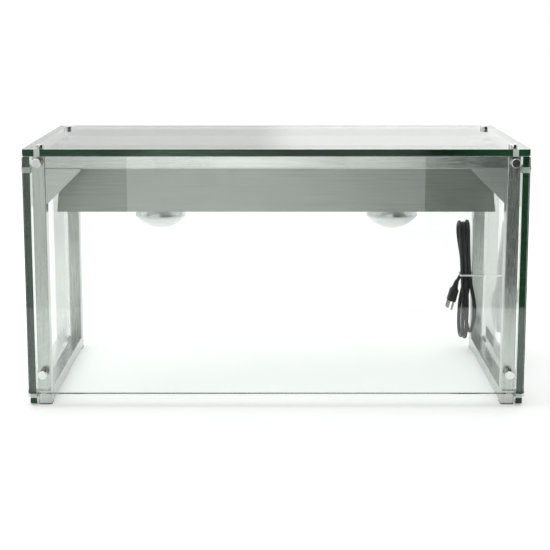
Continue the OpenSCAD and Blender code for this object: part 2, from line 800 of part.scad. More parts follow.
left_front_post();
left_rear_post();
left_bottom_rail();
left_top_rail();
right_front_post();
right_rear_post();
right_bottom_rail();
right_top_rail();
front_top_rail();
rear_top_rail();
front_gussets();
rear_gussets();
foot_plugs();
rivet_nuts();
top_glass();
front_glass();
left_glass();
right_glass();
glass_sleeves();
top_caps();
front_caps();
left_caps();
right_caps();
top_washers();
front_spacers();
left_spacers();
right_spacers();
top_studs();
front_studs();
left_studs();
right_studs();
housing_shell();
housing_left_end();
housing_right_end();
reflector_plate();
plate_screws();
hanger_brackets();
bracket_screws();
socket_brackets();
socket_screws();
left_socket();
right_socket();
socket_contacts();
left_lamp_envelope();
left_lamp_base();
left_lamp_filament();
right_lamp_envelope();
right_lamp_base();
right_lamp_filament();
terminal_block();
lamp_wiring();
switch_body();
switch_rocker();
cord_grip();
cord_lead();
cord_hank();
cord_plug();
plug_prongs();
cord_tie();
rating_label();
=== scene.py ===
import math

import bmesh
import bpy
from mathutils import Matrix, Vector


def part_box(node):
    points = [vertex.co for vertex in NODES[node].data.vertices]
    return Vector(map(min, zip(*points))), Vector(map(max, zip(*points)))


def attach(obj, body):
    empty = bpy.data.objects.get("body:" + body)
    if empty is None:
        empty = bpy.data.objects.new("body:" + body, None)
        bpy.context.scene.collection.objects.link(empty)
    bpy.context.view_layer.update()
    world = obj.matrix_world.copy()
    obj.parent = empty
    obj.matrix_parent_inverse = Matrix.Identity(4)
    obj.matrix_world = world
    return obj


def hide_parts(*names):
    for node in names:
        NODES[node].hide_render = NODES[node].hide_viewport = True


bl_info = {
    "name": "Heated Display Case",
    "version": (1, 0, 0),
    "blender": (4, 5, 0),
    "location": "View3D > Sidebar > Display Case",
    "description": "Finishes a heated countertop display case on its CAD frame",
    "category": "Object",
}

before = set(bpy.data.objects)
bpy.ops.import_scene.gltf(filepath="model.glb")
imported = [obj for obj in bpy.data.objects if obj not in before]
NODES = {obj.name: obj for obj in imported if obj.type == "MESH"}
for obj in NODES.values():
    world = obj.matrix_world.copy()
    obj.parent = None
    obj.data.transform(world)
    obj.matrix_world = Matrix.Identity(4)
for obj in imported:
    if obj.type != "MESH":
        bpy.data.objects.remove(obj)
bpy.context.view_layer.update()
MM = 0.001
MERGE = 0.01 * MM
# Two faces that meet at more than this angle share a hard edge.
SHARP = math.radians(35)
# Two triangles that meet at less than this lie in one flat face.
FLAT_TURN = math.radians(1)
# A face larger than this is flat sheet or glass, in square metres.
FLAT_AREA = 100 * MM * MM
WHITE = (1, 1, 1, 1)


def linear(code):
    """An sRGB hex colour as linear red, green, blue and alpha."""
    parts = [int(code[i:i + 2], 16) / 255 for i in (1, 3, 5)]
    return tuple(c / 12.92 if c <= 0.04045 else ((c + 0.055) / 1.055) ** 2.4 for c in parts) + (1,)


# ---- Settings ----

def colour(name, description, code):
    return bpy.props.FloatVectorProperty(
        name=name, description=description, subtype="COLOR", size=4, min=0, max=1,
        default=linear(code))


def length(name, description, value):
    return bpy.props.FloatProperty(
        name=name, description=description, subtype="DISTANCE", unit="LENGTH", min=0,
        precision=4, default=value)


class CaseColours(bpy.types.PropertyGroup):
    """The colours of the case's finishes."""
    tube: colour("Tube", "Brushed stainless steel of the square tube frame", "#bfc3bf")
    housing: colour("Housing", "Brushed stainless sheet of the lamp housing", "#929892")
    reflector: colour("Reflector", "Bright rolled aluminium under the housing", "#dfe1df")
    cap: colour("Caps", "Polished stainless steel of the glass caps", "#dcddda")
    spacer: colour("Spacers", "Turned stainless steel behind the panes", "#c4c6c4")
    zinc: colour("Zinc", "Zinc plated screws, studs and nuts", "#a9adab")
    pane: colour("Glass", "Tint of light through one face of a pane", "#fafdfb")
    pane_edge: colour("Glass edge", "Deep green of a pane's polished edge", "#0a1410")
    # Painted light: paler green painted in soft stripes along the glass edges, standing for light that
    # runs through the glass.
    painted_edge_glow: colour("Glass edge glow", "Paler green where light runs along an edge", "#2c5a3d")
    # Painted view: the pale colour painted on the glass edges where a bolt's sleeve would show through
    # the glass.
    bore: colour("Bolt in the edge", "Sleeve of a bolt seen through a pane's edge", "#ccd6cf")
    nylon: colour("Sleeves", "Natural nylon sleeves in the glass holes", "#e4e7e1")
    porcelain: colour("Sockets", "Glazed porcelain of the lamp sockets", "#ece8dc")
    brass: colour("Brass", "Socket contacts and lamp bases", "#c9ae72")
    blade: colour("Plug blades", "Nickel plated blades and earth pin", "#bab6aa")
    frost: colour("Lamp face", "Frosted face of the reflector lamps", "#e9ebea")
    silver: colour("Lamp silvering", "Silvered back of the reflector lamps", "#d4d6d6")
    rubber: colour("Feet", "Moulded rubber under the posts", "#262728")
    jacket: colour("Cord", "Black vinyl jacket of the mains cord", "#141516")
    plug: colour("Plug", "Moulded black vinyl of the plug and strain relief", "#1f2022")
    tie: colour("Cable tie", "White nylon tie round the hank", "#eff0ed")
    label: colour("Label", "Blank foil plate on the right pane", "#8496a2")
    wire: colour("Wires", "Silicone sleeves inside the housing", "#a3442f")
    switch: colour("Switch", "Black moulded nylon of the rocker switch", "#222325")


class CaseSizes(bpy.types.PropertyGroup):
    """The sizes of the details that finish the CAD shapes."""
    arris: length("Arris", "Width of the polished arris on the glass edges", 0.7 * MM)
    sheet_bend: length("Sheet edge", "Rounding of the folded sheet's edges", 0.45 * MM)
    grain_width: length("Grain width", "Spacing of the brushed lines", 1.6 * MM)
    grain_length: length("Grain length", "Length of the brushed lines", 90 * MM)
    cord_diameter: length("Cord diameter", "Outer diameter of the mains cord", 8 * MM)
    screw_head: length("Screw head", "Diameter of the pan head screws", 8 * MM)
    cap_chamfer: length("Cap chamfer", "Chamfer round each glass cap", 0.8 * MM)


def colours():
    return bpy.context.scene.case_colours


def sizes():
    return bpy.context.scene.case_sizes


# ---- Nodes and materials ----

def add(tree, kind, inputs=None, **settings):
    """Adds a node, gives it its settings, and fills or links its inputs."""
    made = tree.nodes.new(kind)
    for key, value in settings.items():
        setattr(made, key, value)
    for key, value in (inputs or {}).items():
        if isinstance(value, bpy.types.NodeSocket):
            tree.links.new(value, made.inputs[key])
        else:
            made.inputs[key].default_value = value
    return made


def maths(tree, operation, a, b=0.0):
    """One sum of two values or sockets, in a material or a geometry node tree."""
    return add(tree, "ShaderNodeMath", {0: a, 1: b}, operation=operation).outputs["Value"]


def new_material(name):
    made = bpy.data.materials.new(name)
    made.use_nodes = True
    made.node_tree.nodes.clear()
    return made, made.node_tree


def pattern(tree, spacing, detail=2.0, seed=0.0):
    """Noise on the piece's own coordinates, with a spacing in metres along each axis."""
    place = add(tree, "ShaderNodeTexCoord").outputs["Object"]
    scaled = add(tree, "ShaderNodeMapping", {
        "Vector": place, "Location": (seed, seed, seed), "Scale": [1 / s for s in spacing]})
    return add(tree, "ShaderNodeTexNoise", {
        "Vector": scaled.outputs["Vector"], "Scale": 1.0, "Detail": detail}).outputs["Fac"]


def spread(tree, value, low, high):
    """Noise, which stays near its middle, stretched to run from low to high."""
    return add(tree, "ShaderNodeMapRange", {
        "Value": value, "From Min": 0.3, "From Max": 0.7, "To Min": low, "To Max": high}
    ).outputs["Result"]


def shade(base, factor):
    return tuple(min(1, c * factor) for c in base[:3]) + (1,)


def mixed(tree, factor, a, b):
    """Two colours mixed by a factor."""
    made = add(tree, "ShaderNodeMix", data_type="RGBA")
    tree.links.new(factor, made.inputs["Factor"])
    for name, value in (("A", a), ("B", b)):
        socket = [s for s in made.inputs if s.name == name and s.type == "RGBA"][0]
        if isinstance(value, bpy.types.NodeSocket):
            tree.links.new(value, socket)
        else:
            socket.default_value = value
    return [s for s in made.outputs if s.type == "RGBA"][0]


def brushed_steel(name, base, axis, rough=0.23):
    """Stainless steel ground with a belt: fine lines along one axis that blur reflections
    across them, and patches where hands and cloths have dulled the surface. Real lines are
    about 0.1 mm wide and are drawn coarser so that they show."""
    made, tree = new_material(name)
    width, run = sizes().grain_width, sizes().grain_length
    lines = pattern(tree, [run if i == axis else width for i in range(3)], 3.0)
    fine = pattern(tree, [run / 3 if i == axis else width / 3 for i in range(3)], 2.0, 7.0)
    patches = pattern(tree, [120 * MM] * 3, 2.0, 3.0)
    tone = mixed(tree, spread(tree, lines, 0, 1), shade(base, 0.90), shade(base, 1.07))
    both = maths(tree, "ADD", spread(tree, fine, rough - 0.06, rough + 0.06),
                 spread(tree, patches, -0.04, 0.05))
    bump = add(tree, "ShaderNodeBump", {
        "Height": lines, "Strength": 0.04, "Distance": 0.05 * MM})
    metal = add(tree, "ShaderNodeBsdfPrincipled", {
        "Base Color": tone, "Metallic": 1.0, "Roughness": both,
        "Normal": bump.outputs["Normal"]})
    add(tree, "ShaderNodeOutputMaterial", {"Surface": metal.outputs["BSDF"]})
    return made


def turned_metal(name, base, rough, spacing=3 * MM):
    """Metal off a lathe or out of a plating bath: bright, with a faint cloudiness that keeps
    it from being a perfect mirror."""
    made, tree = new_material(name)
    cloud = pattern(tree, [spacing] * 3, 3.0)
    tone = mixed(tree, spread(tree, cloud, 0, 1), shade(base, 0.93), shade(base, 1.04))
    metal = add(tree, "ShaderNodeBsdfPrincipled", {
        "Base Color": tone, "Metallic": 1.0,
        "Roughness": spread(tree, cloud, rough * 0.75, rough * 1.3)})
    add(tree, "ShaderNodeOutputMaterial", {"Surface": metal.outputs["BSDF"]})
    return made


def moulded(name, base, rough, ior=1.5, spacing=1.2 * MM, depth=0.04 * MM, strength=0.25):
    """Moulded plastic, rubber or glazed porcelain: one pigment all through, with the slight
    mottle and fine texture that its mould or glaze leaves."""
    made, tree = new_material(name)
    mottle = pattern(tree, [14 * MM] * 3, 3.0)
    texture = pattern(tree, [spacing] * 3, 2.0, 5.0)
    tone = mixed(tree, spread(tree, mottle, 0, 1), shade(base, 0.9), shade(base, 1.1))
    bump = add(tree, "ShaderNodeBump", {
        "Height": texture, "Strength": strength, "Distance": depth})
    body = add(tree, "ShaderNodeBsdfPrincipled", {
        "Base Color": tone, "Roughness": spread(tree, texture, rough * 0.85, rough * 1.15),
        "IOR": ior, "Normal": bump.outputs["Normal"]})
    add(tree, "ShaderNodeOutputMaterial", {"Surface": body.outputs["BSDF"]})
    return made


def pane_faces(name, base):
    """Clear toughened float glass, polished by its making, with the faint haze of wiping.
    Light for the things behind it passes straight through."""
    made, tree = new_material(name)
    haze = pattern(tree, [90 * MM] * 3, 4.0)
    glass = add(tree, "ShaderNodeBsdfPrincipled", {
        "Base Color": base, "IOR": 1.52, "Transmission Weight": 1.0,
        "Roughness": spread(tree, haze, 0.0, 0.012)})
    passing = add(tree, "ShaderNodeBsdfTransparent", {"Color": base})
    ray = add(tree, "ShaderNodeLightPath")
    lets_through = maths(tree, "MAXIMUM", ray.outputs["Is Shadow Ray"],
                         ray.outputs["Is Diffuse Ray"])
    mix = add(tree, "ShaderNodeMixShader", {
        0: lets_through, 1: glass.outputs["BSDF"], 2: passing.outputs["BSDF"]})
    add(tree, "ShaderNodeOutputMaterial", {"Surface": mix.outputs["Shader"]})
    return made


# Radii of a stud and of the pale band painted on the glass edge where its sleeve would show through,
# and how widely the painted band fades.
STUD_R, SLEEVE_R, BAND_FADE = 4 * MM, 5 * MM, 1 * MM


def painted_sleeve_view(tree):
    """Where an edge has a bolt and its pale nylon sleeve close behind it, as a factor for the painted
    view of the sleeve through the glass.
    """
    place = add(tree, "ShaderNodeSeparateXYZ", {
        "Vector": add(tree, "ShaderNodeNewGeometry").outputs["Position"]})
    nearest = 1.0
    for studs, axis in (("front_studs", 0), ("right_studs", 2), ("top_studs", 1)):
        low, high = (corner[axis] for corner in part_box(studs))
        for bolt in (low + STUD_R, high - STUD_R):
            beyond = maths(tree, "SUBTRACT", place.outputs[axis], bolt)
            nearest = maths(tree, "MINIMUM", maths(tree, "ABSOLUTE", beyond), nearest)
    return add(tree, "ShaderNodeMapRange", {
        "Value": nearest, "From Min": SLEEVE_R + BAND_FADE, "From Max": SLEEVE_R,
        "To Min": 0.0, "To Max": 0.95}).outputs["Result"]


def pane_edges(name, deep, glow, bore):
    """The polished edge of thick float glass. Light that leaves it has run a long way through
    the iron in the glass, so it is deep green. Paler green is painted light, laid in soft
    stripes along the edge, and a pale patch is painted where the sleeve of a bolt would show through."""
    made, tree = new_material(name)
    painted_glow_bands = pattern(tree, [260 * MM] * 3, 1.0)
    fine = pattern(tree, [40 * MM, 40 * MM, 2.5 * MM], 3.0, 9.0)
    # Painted light: paler green stripes standing for light that runs along the edge.
    tone = mixed(tree, spread(tree, painted_glow_bands, 0, 1), deep, glow)
    tone = mixed(tree, spread(tree, fine, 0, 0.5), tone, shade(deep, 0.6))
    # Painted view of each bolt's sleeve through the glass, as a pale patch on the edge.
    tone = mixed(tree, painted_sleeve_view(tree), tone, bore)
    edge = add(tree, "ShaderNodeBsdfPrincipled", {
        "Base Color": tone, "IOR": 1.52, "Specular IOR Level": 0.28,
        "Roughness": spread(tree, fine, 0.05, 0.14)})
    add(tree, "ShaderNodeOutputMaterial", {"Surface": edge.outputs["BSDF"]})
    return made


def frosted_glass(name, base):
    """Blown glass etched inside: milky and evenly bright, with a smooth glossy skin."""
    made, tree = new_material(name)
    etch = pattern(tree, [9 * MM] * 3, 4.0)
    tone = mixed(tree, spread(tree, etch, 0, 1), shade(base, 0.95), shade(base, 1.03))
    face = add(tree, "ShaderNodeBsdfPrincipled", {
        "Base Color": tone, "Roughness": 0.32, "IOR": 1.5, "Coat Weight": 0.5,
        "Coat Roughness": 0.06, "Subsurface Weight": 0.3, "Subsurface Scale": 4 * MM})
    add(tree, "ShaderNodeOutputMaterial", {"Surface": face.outputs["BSDF"]})
    return made


def foil(name, base):
    """A printed aluminium foil plate left blank: satin metal under a thin tinted lacquer,
    with fine rolling lines along it."""
    made, tree = new_material(name)
    rolled = pattern(tree, [2 * MM, 60 * MM, 1.5 * MM], 3.0)
    tone = mixed(tree, spread(tree, rolled, 0, 1), shade(base, 0.9), shade(base, 1.08))
    plate = add(tree, "ShaderNodeBsdfPrincipled", {
        "Base Color": tone, "Metallic": 0.35, "Roughness": spread(tree, rolled, 0.38, 0.5),
        "Coat Weight": 0.2, "Coat Roughness": 0.2})
    add(tree, "ShaderNodeOutputMaterial", {"Surface": plate.outputs["BSDF"]})
    return made


# ---- Making pieces ----

def shape(name, bm, materials):
    """A mesh object from a bmesh, smooth but for its hard edges."""
    mesh = bpy.data.meshes.new(name)
    bm.to_mesh(mesh)
    bm.free()
    for m in materials:
        mesh.materials.append(m)
    made = bpy.data.objects.new(name, mesh)
    bpy.context.scene.collection.objects.link(made)
    smooth(mesh)
    return made


def smooth(mesh):
    """Smooth faces between hard edges, and wide faces kept truly flat."""
    mesh.polygons.foreach_set("use_smooth", [p.area < FLAT_AREA for p in mesh.polygons])
    mesh.set_sharp_from_angle(angle=SHARP)
    mesh.polygons.foreach_set("use_smooth", [p.area < FLAT_AREA for p in mesh.polygons])


def placed(piece, nodes=(), body="case"):
    """Hangs a finished piece on its body, in place of the CAD nodes it stands for."""
    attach(piece, body)
    if nodes:
        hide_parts(*nodes)
    return piece


def finish(names, material):
    """Gives CAD nodes a finish."""
    for name in names:
        if name not in NODES:
            raise RuntimeError(f"the frame has no node {name}")
        for held in NODES[name].material_slots:
            held.material = material


def merged_copy(names):
    """One bmesh from CAD nodes, with their loose triangles joined up."""
    bm = bmesh.new()
    for name in names:
        bm.from_mesh(NODES[name].data)
    bmesh.ops.remove_doubles(bm, verts=bm.verts, dist=MERGE)
    return bm


def rounded_copy(names, width):
    """CAD nodes with their flat faces whole and their hard edges rounded."""
    bm = merged_copy(names)
    bmesh.ops.dissolve_limit(bm, angle_limit=FLAT_TURN, verts=bm.verts, edges=bm.edges)
    hard = [e for e in bm.edges if len(e.link_faces) == 2 and e.calc_face_angle(0) > SHARP]
    bmesh.ops.bevel(bm, geom=hard, offset=width, offset_type="OFFSET", segments=2,
                    profile=0.5, affect="EDGES", clamp_overlap=True)
    bm.normal_update()
    return bm


def softened(name, names, material, width, body="case"):
    """A sheet or moulded piece in place of CAD nodes, with its edges broken."""
    bm = rounded_copy(names, width)
    for f in bm.faces:
        f.material_index = 0
    return placed(shape(name, bm, [material]), names, body)


def islands(name):
    """The box of each separate solid in a CAD node."""
    bm = merged_copy([name])
    left, boxes = set(bm.verts), []
    while left:
        todo, found = [left.pop()], []
        while todo:
            v = todo.pop()
            found.append(v.co.copy())
            for e in v.link_edges:
                other = e.other_vert(v)
                if other in left:
                    left.remove(other)
                    todo.append(other)
        boxes.append((Vector([min(c[i] for c in found) for i in range(3)]),
                      Vector([max(c[i] for c in found) for i in range(3)])))
    bm.free()
    return sorted(boxes, key=lambda b: tuple(round(c, 4) for c in b[0]))


def lathe(bm, place, profile, segments=64):
    """Turns a profile of (radius, height, material) about the Z of a placing matrix. Each
    ring's material is that of the band that follows it."""
    rings = []
    for r, z, _ in profile:
        if r < 1e-7:
            rings.append([bm.verts.new(place @ Vector((0, 0, z)))])
        else:
            rings.append([bm.verts.new(place @ Vector((
                r * math.cos(math.tau * k / segments), r * math.sin(math.tau * k / segments),
                z))) for k in range(segments)])
    for (a, b), (_, _, index) in zip(zip(rings, rings[1:]), profile):
        for k in range(segments):
            n = (k + 1) % segments
            corners = [a[k % len(a)], a[n % len(a)], b[n % len(b)], b[k % len(b)]]
            corners = [v for i, v in enumerate(corners) if v not in corners[:i]]
            if len(corners) > 2:
                bm.faces.new(corners).material_index = index


def loft(bm, place, sections, count=48):
    """A closed form through sections of (half width, half depth, squareness, height)."""
    rings = []
    for w, d, power, z in sections:
        ring = []
        for k in range(count):
            a = math.tau * k / count
            c, s = math.cos(a), math.sin(a)
            ring.append(bm.verts.new(place @ Vector((
                w * math.copysign(abs(c) ** (2 / power), c),
                d * math.copysign(abs(s) ** (2 / power), s), z))))
        rings.append(ring)
    for a, b in zip(rings, rings[1:]):
        for k in range(count):
            n = (k + 1) % count
            bm.faces.new([a[k], a[n], b[n], b[k]])
    bm.faces.new(reversed(rings[0]))
    bm.faces.new(rings[-1])


def ribbon(bm, path, half_height, half_thick):
    """A flat strap on edge round a closed path in the XY plane, with eased corners."""
    ease = half_thick * 0.5
    section = [(half_thick, half_height - ease), (half_thick - ease, half_height),
               (ease - half_thick, half_height), (-half_thick, half_height - ease),
               (-half_thick, ease - half_height), (ease - half_thick, -half_height),
               (half_thick - ease, -half_height), (half_thick, ease - half_height)]
    rings = []
    for i, p in enumerate(path):
        before, after = path[i - 1], path[(i + 1) % len(path)]
        along = (after - before).normalized()
        out = along.cross(Vector((0, 0, 1)))
        rings.append([bm.verts.new(p + out * t + Vector((0, 0, h))) for t, h in section])
    for a, b in zip(rings, rings[1:] + rings[:1]):
        for k in range(len(section)):
            n = (k + 1) % len(section)
            bm.faces.new([a[k], b[k], b[n], a[n]])


# ---- Pieces that repeat, by geometry nodes ----

def group(name, inputs):
    """A geometry node tree with named inputs, and its input and output nodes."""
    tree = bpy.data.node_groups.new(name, "GeometryNodeTree")
    tree.interface.new_socket("Places", in_out="INPUT", socket_type="NodeSocketGeometry")
    for label, kind in inputs.items():
        tree.interface.new_socket(label, in_out="INPUT", socket_type=kind)
    tree.interface.new_socket("Pieces", in_out="OUTPUT", socket_type="NodeSocketGeometry")
    return tree, add(tree, "NodeGroupInput"), add(tree, "NodeGroupOutput")


def lifted(tree, solid, height):
    offset = add(tree, "ShaderNodeCombineXYZ", {"Z": height})
    return add(tree, "GeometryNodeTransform", {
        "Geometry": solid, "Translation": offset.outputs["Vector"]}).outputs["Geometry"]


def joined(tree, *solids):
    made = add(tree, "GeometryNodeJoinGeometry")
    for solid in solids:
        tree.links.new(solid, made.inputs["Geometry"])
    return made.outputs["Geometry"]


def stood_on_places(tree, start, end, solid):
    """Puts a solid on every place, turned to its outward direction, and finishes it."""
    out = add(tree, "GeometryNodeInputNamedAttribute", {"Name": "out"}, data_type="FLOAT_VECTOR")
    turn = add(tree, "FunctionNodeAlignRotationToVector", {
        "Vector": out.outputs["Attribute"]}, axis="Z")
    put = add(tree, "GeometryNodeInstanceOnPoints", {
        "Points": start.outputs["Places"], "Instance": solid,
        "Rotation": turn.outputs["Rotation"]})
    real = add(tree, "GeometryNodeRealizeInstances", {"Geometry": put.outputs["Instances"]})
    done = add(tree, "GeometryNodeSetMaterial", {
        "Geometry": real.outputs["Geometry"], "Material": start.outputs["Finish"]})
    tree.links.new(done.outputs["Geometry"], end.inputs["Pieces"])


def cap_tree():
    """A polished cap: a round body, a chamfer and a flat face."""
    tree, start, end = group("glass_cap", {
        "Diameter": "NodeSocketFloat", "Height": "NodeSocketFloat",
        "Chamfer": "NodeSocketFloat", "Finish": "NodeSocketMaterial"})
    radius = maths(tree, "MULTIPLY", start.outputs["Diameter"], 0.5)
    body_h = maths(tree, "SUBTRACT", start.outputs["Height"], start.outputs["Chamfer"])
    body = add(tree, "GeometryNodeMeshCylinder", {
        "Vertices": 64, "Radius": radius, "Depth": body_h}, fill_type="NGON").outputs["Mesh"]
    top_r = maths(tree, "SUBTRACT", radius, start.outputs["Chamfer"])
    bevel = add(tree, "GeometryNodeMeshCone", {
        "Vertices": 64, "Radius Bottom": radius, "Radius Top": top_r,
        "Depth": start.outputs["Chamfer"]}, fill_type="NGON").outputs["Mesh"]
    whole = joined(tree, lifted(tree, body, maths(tree, "MULTIPLY", body_h, 0.5)),
                   lifted(tree, bevel, body_h))
    stood_on_places(tree, start, end, whole)
    return tree


def screw_tree():
    """A pan head screw with a cross recess."""
    tree, start, end = group("pan_head_screw", {
        "Head": "NodeSocketFloat", "Height": "NodeSocketFloat", "Length": "NodeSocketFloat",
        "Finish": "NodeSocketMaterial"})
    radius = maths(tree, "MULTIPLY", start.outputs["Head"], 0.5)
    half = maths(tree, "MULTIPLY", start.outputs["Height"], 0.5)
    low = add(tree, "GeometryNodeMeshCylinder", {
        "Vertices": 32, "Radius": radius, "Depth": half}, fill_type="NGON").outputs["Mesh"]
    dome = add(tree, "GeometryNodeMeshCone", {
        "Vertices": 32, "Radius Bottom": radius,
        "Radius Top": maths(tree, "MULTIPLY", radius, 0.72), "Depth": half},
        fill_type="NGON").outputs["Mesh"]
    head = joined(tree, lifted(tree, low, maths(tree, "MULTIPLY", half, 0.5)),
                  lifted(tree, dome, half))
    slots = []
    slot_reach, slot_width = 0.6, 0.14
    for along, across in ((slot_reach, slot_width), (slot_width, slot_reach)):
        box = add(tree, "ShaderNodeCombineXYZ", {
            "X": maths(tree, "MULTIPLY", start.outputs["Head"], along),
            "Y": maths(tree, "MULTIPLY", start.outputs["Head"], across), "Z": half})
        slots.append(add(tree, "GeometryNodeMeshCube", {
            "Size": box.outputs["Vector"]}).outputs["Mesh"])
    cross = lifted(tree, joined(tree, *slots), start.outputs["Height"])
    cut = add(tree, "GeometryNodeMeshBoolean", {"Mesh 1": head, "Mesh 2": cross},
              operation="DIFFERENCE", solver="EXACT")
    shank = add(tree, "GeometryNodeMeshCylinder", {
        "Vertices": 24, "Radius": maths(tree, "MULTIPLY", start.outputs["Head"], 0.24),
        "Depth": start.outputs["Length"]}, fill_type="NGON").outputs["Mesh"]
    drop = maths(tree, "MULTIPLY", start.outputs["Length"], -0.5)
    stood_on_places(tree, start, end, joined(tree, cut.outputs["Mesh"], lifted(tree, shank, drop)))
    return tree


def grown(name, tree, places, inputs, nodes):
    """Runs a tree on places of (point, outward direction), and keeps the result as a mesh."""
    seed = bpy.data.meshes.new(name)
    seed.from_pydata([tuple(p) for p, _ in places], [], [])
    out = seed.attributes.new("out", "FLOAT_VECTOR", "POINT")
    out.data.foreach_set("vector", [c for _, d in places for c in d])
    made = bpy.data.objects.new(name, seed)
    bpy.context.scene.collection.objects.link(made)
    modifier = made.modifiers.new(name, "NODES")
    modifier.node_group = tree
    for item in tree.interface.items_tree:
        if item.in_out == "INPUT" and item.name in inputs:
            modifier[item.identifier] = inputs[item.name]
    graph = bpy.context.evaluated_depsgraph_get()
    mesh = bpy.data.meshes.new_from_object(made.evaluated_get(graph))
    if not mesh.polygons:
        raise RuntimeError(f"{name} came out empty")
    made.modifiers.remove(modifier)
    made.data = mesh
    smooth(mesh)
    return placed(made, nodes)


# ---- The frame, the glass and its fasteners ----

class CASE_OT_frame(bpy.types.Operator):
    """Brushes the tube frame and rounds its corner plates"""
    bl_idname = "case.frame"
    bl_label = "Tube frame"

    def execute(self, context):
        tube = colours().tube
        posts = [f"{s}_{e}_post" for s in ("left", "right") for e in ("front", "rear")]
        rails = [f"{s}_{h}_rail" for s in ("left", "right") for h in ("top", "bottom")]
        finish(posts, brushed_steel("stainless_tube_upright", tube, 2))
        finish(rails, brushed_steel("stainless_tube_side", tube, 1))
        across = brushed_steel("stainless_tube_across", tube, 0)
        finish(["front_top_rail", "rear_top_rail"], across)
        plate = brushed_steel("stainless_corner_plate", tube, 0, 0.34)
        softened("corner_plates_front", ["front_gussets"], plate, 0.4 * MM)
        softened("corner_plates_rear", ["rear_gussets"], plate, 0.4 * MM)
        finish(["rivet_nuts"], turned_metal("zinc_nut", colours().zinc, 0.35))
        finish(["foot_plugs"], moulded("rubber_foot", colours().rubber, 0.7))
        return {"FINISHED"}


class CASE_OT_panes(bpy.types.Operator):
    """Makes the four thick panes with polished edges and arrises"""
    bl_idname = "case.panes"
    bl_label = "Glass panes"

    def execute(self, context):
        faces = pane_faces("float_glass_face", colours().pane)
        edges = pane_edges("float_glass_edge", colours().pane_edge, colours().painted_edge_glow,
                           colours().bore)
        for name in ("top_glass", "front_glass", "left_glass", "right_glass"):
            low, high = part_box(name)
            thin = min(range(3), key=lambda i: high[i] - low[i])
            bm = rounded_copy([name], sizes().arris)
            for f in bm.faces:
                f.material_index = 0 if abs(f.normal[thin]) > 0.99 else 1
            pane = shape(name.replace("glass", "pane"), bm, [faces, edges])
            placed(pane, [name])
        return {"FINISHED"}


class CASE_OT_caps(bpy.types.Operator):
    """Puts a polished cap on every bolt, and finishes what is under the caps"""
    bl_idname = "case.caps"
    bl_label = "Glass caps"

    def execute(self, context):
        tree = cap_tree()
        polished = turned_metal("polished_cap", colours().cap, 0.13)
        outward = {"top": (0, 0, 1), "front": (0, -1, 0), "left": (-1, 0, 0), "right": (1, 0, 0)}
        for side, out in outward.items():
            node = f"{side}_caps"
            out = Vector(out)
            places = []
            for low, high in islands(node):
                middle, size = (low + high) / 2, high - low
                height = abs(size.dot(out))
                places.append((middle - out * height / 2, out))
            across = sorted(size)[2]
            grown(f"{side}_polished_caps", tree, places, {
                "Diameter": across, "Height": height, "Chamfer": sizes().cap_chamfer,
                "Finish": polished}, [node])
        turned = turned_metal("turned_spacer", colours().spacer, 0.22)
        finish(["front_spacers", "left_spacers", "right_spacers"], turned)
        nylon = moulded("natural_nylon", colours().nylon, 0.4)
        finish(["top_washers", "glass_sleeves"], nylon)
        zinc = turned_metal("zinc_stud", colours().zinc, 0.3)
        finish([f"{side}_studs" for side in outward], zinc)
        return {"FINISHED"}


# ---- The lamp housing ----

class CASE_OT_housing(bpy.types.Operator):
    """Finishes the sheet housing, its reflector plate, its brackets and their screws"""
    bl_idname = "case.housing"
    bl_label = "Lamp housing"

    def execute(self, context):
        sheet = brushed_steel("stainless_sheet", colours().housing, 0, 0.36)
        bend = sizes().sheet_bend
        softened("housing_wrap", ["housing_shell"], sheet, bend)
        softened("housing_cheek_left", ["housing_left_end"], sheet, bend)
        softened("housing_cheek_right", ["housing_right_end"], sheet, bend)
        bright = brushed_steel("rolled_aluminium", colours().reflector, 0, 0.22)
        finish(["reflector_plate"], bright)
        bracket = brushed_steel("bracket_steel", colours().zinc, 1, 0.4)
        softened("hanger_angles", ["hanger_brackets"], bracket, 0.3 * MM)
        finish(["socket_brackets"], bracket)
        tree = screw_tree()
        zinc = turned_metal("zinc_screw", colours().zinc, 0.28)
        finish(["socket_screws"], zinc)
        head = sizes().screw_head
        plate = [(Vector(((low.x + high.x) / 2, (low.y + high.y) / 2, low.z + 1 * MM)),
                  Vector((0, 0, -1))) for low, high in islands("plate_screws")]
        grown("plate_pan_screws", tree, plate, {
            "Head": head, "Height": 1 * MM, "Length": 6 * MM, "Finish": zinc},
            ["plate_screws"])
        upright, sideways = [], []
        for low, high in islands("bracket_screws"):
            middle, size = (low + high) / 2, high - low
            if size.z < size.x:
                upright.append((Vector((middle.x, middle.y, high.z - 2 * MM)), Vector((0, 0, 1))))
            else:
                inward = Vector((-math.copysign(1, middle.x), 0, 0))
                face = high.x if inward.x > 0 else low.x
                sideways.append((Vector((face, middle.y, middle.z)) - inward * 2 * MM, inward))
        screws = {"Head": head, "Height": 2 * MM, "Finish": zinc}
        grown("bracket_pan_screws_down", tree, upright, {**screws, "Length": 5 * MM},
              ["bracket_screws"])
        grown("bracket_pan_screws_in", tree, sideways, {**screws, "Length": 2 * MM},
              ["bracket_screws"])
        return {"FINISHED"}


# ---- Lamps and electrical parts ----

FROSTED, SILVERED = 0, 1


